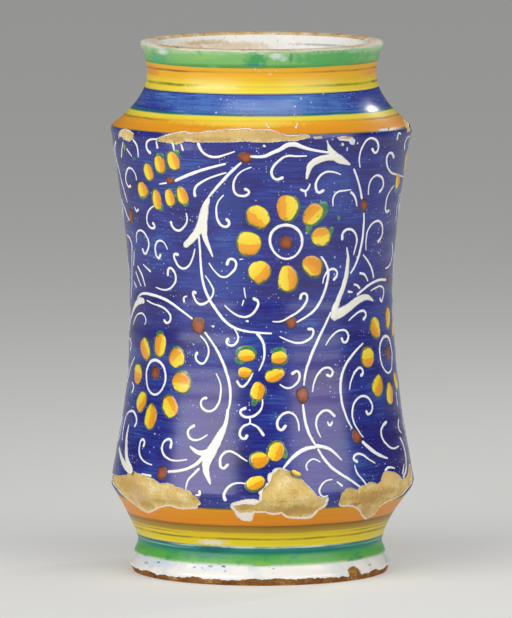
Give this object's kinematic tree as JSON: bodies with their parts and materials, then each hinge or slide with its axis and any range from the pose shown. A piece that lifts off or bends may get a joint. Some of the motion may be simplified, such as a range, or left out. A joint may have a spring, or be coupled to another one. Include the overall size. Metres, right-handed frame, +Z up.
{
  "type": "albarello",
  "caption": "Waisted tin-glazed pharmacy jar with a flared neck, sloping shoulder and spreading foot, banded and painted with a flower scroll on blue.",
  "frame": {"origin": "centre of the resting ring, on the table", "axes": "+Z up along the jar's axis; -Y is the front, with the large glaze losses"},
  "size_m": [0.1248, 0.1248, 0.22],
  "materials": {
    "buff_clay": "bare fired earthenware",
    "foot_clay": "bare fired earthenware, darkened",
    "tin_white": "glossy white tin glaze",
    "copper_green": "glossy green glaze",
    "orange": "glossy orange glaze",
    "antimony_yellow": "glossy yellow glaze",
    "pale_cobalt": "glossy blue glaze",
    "deep_cobalt": "glossy deep blue glaze",
    "teal": "glossy blue-green glaze"
  },
  "bodies": {
    "root": {"floor_slab": "buff_clay", "foot_ring": "foot_clay", "heel_wall": "buff_clay", "lower_body_wall": "buff_clay", "upper_body_wall": "buff_clay", "shoulder_wall": "buff_clay", "neck_wall": "buff_clay", "outer_tin_glaze": "tin_white", "inner_tin_glaze": "tin_white", "lip_green_band": "copper_green", "neck_orange_band": "orange", "neck_yellow_band": "antimony_yellow", "shoulder_blue_band": "pale_cobalt", "shoulder_yellow_band": "antimony_yellow", "shoulder_orange_band": "orange", "body_blue_ground": "deep_cobalt", "heel_orange_band": "orange", "heel_yellow_band": "antimony_yellow", "foot_teal_band": "teal", "foot_green_band": "copper_green"}
  },
  "joints": []
}
